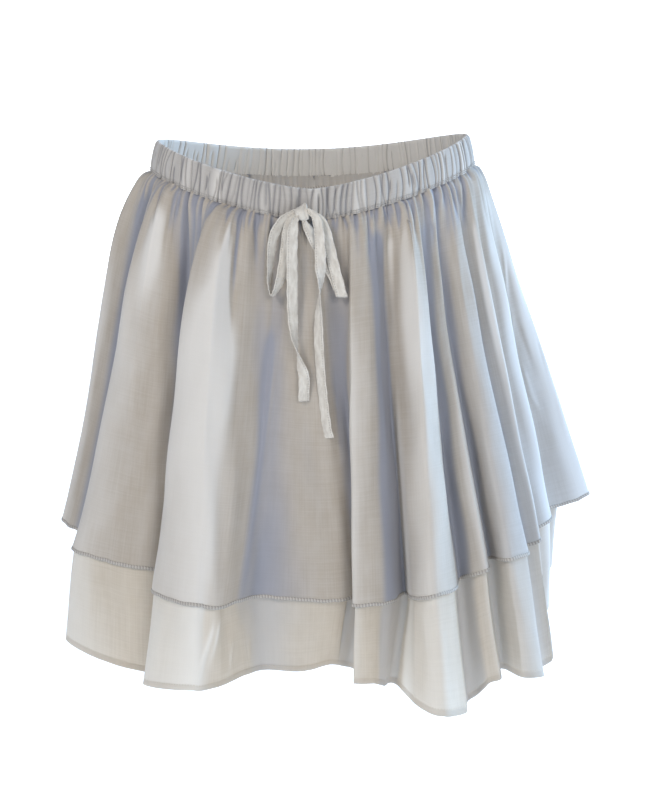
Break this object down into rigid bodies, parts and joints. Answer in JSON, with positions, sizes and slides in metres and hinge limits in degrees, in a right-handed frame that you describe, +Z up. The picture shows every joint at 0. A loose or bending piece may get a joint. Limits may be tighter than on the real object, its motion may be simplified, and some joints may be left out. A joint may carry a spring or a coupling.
{
  "type": "flared skirt",
  "caption": "Short flared skirt of two sheer layers with a gathered waistband and a tied drawstring, filled out as when its waist is held.",
  "frame": {"origin": "middle of the waist opening, level with the middle of the waistband's height at its two sides", "axes": "+Z up out of the waist, +X towards the right-hand side of a view from the front, the front with its drawstring bow faces -Y"},
  "size_m": [0.48, 0.3111, 0.4783],
  "materials": {
    "band_cloth": "gathered cotton voile, matt",
    "tier_cloth": "pale grey-blue cotton voile, matt",
    "under_cloth": "sheer pale cotton voile, matt",
    "tape": "flat cotton tape with stitched edges, matt"
  },
  "bodies": {
    "root": {"waistband_front": "band_cloth", "waistband_back": "band_cloth", "tier_front": "tier_cloth", "tier_back": "tier_cloth", "under_front": "under_cloth", "under_back": "under_cloth", "seam_allowance_front": "band_cloth", "seam_allowance_back": "band_cloth", "drawstring_knot": "tape", "drawstring_loop_left": "tape", "drawstring_loop_right": "tape", "drawstring_tail_left": "tape", "drawstring_tail_right": "tape"}
  },
  "joints": []
}
